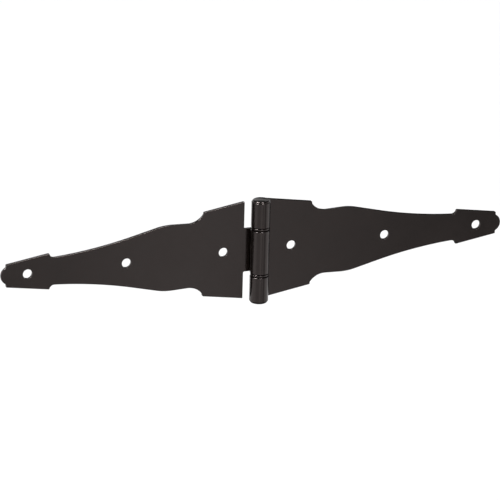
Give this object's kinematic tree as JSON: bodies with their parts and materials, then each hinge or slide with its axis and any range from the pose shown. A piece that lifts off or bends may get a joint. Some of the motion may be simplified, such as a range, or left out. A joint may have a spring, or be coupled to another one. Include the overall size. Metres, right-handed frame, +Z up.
{
  "type": "strap hinge",
  "caption": "Ornamental surface-mounted strap hinge with tapered spear-ended leaves, rolled knuckles, thrust washers and a headed pin.",
  "frame": {"origin": "on the pin's axis, halfway up the barrel", "axes": "+Z up the pin, +X along the frame strap away from the pin, +Y out of the straps' backs into the wood; the barrel stands proud towards -Y"},
  "size_m": [0.4, 0.0144, 0.0814],
  "materials": {
    "strap_paint": "smooth black paint, between satin and gloss",
    "pin_paint": "the same black paint, a little thicker on the heads' rims",
    "washer_paint": "black, satin"
  },
  "bodies": {
    "frame_side": {"frame_strap": "strap_paint", "hinge_pin": "pin_paint"},
    "door_side": {"door_strap": "strap_paint"},
    "upper_washer": {"upper_washer": "washer_paint"},
    "lower_washer": {"lower_washer": "washer_paint"}
  },
  "joints": [
    {"name": "hinge_swing", "type": "hinge", "parent": "frame_side", "child": "door_side", "pos_m": [0, 0, 0], "axis": [0, 0, 1], "range_deg": [-100, 180]},
    {"name": "upper_washer_turn", "type": "hinge", "parent": "frame_side", "child": "upper_washer", "pos_m": [0, 0, 0.01825], "axis": [0, 0, 1], "continuous": true},
    {"name": "lower_washer_turn", "type": "hinge", "parent": "frame_side", "child": "lower_washer", "pos_m": [0, 0, -0.01825], "axis": [0, 0, 1], "continuous": true}
  ]
}
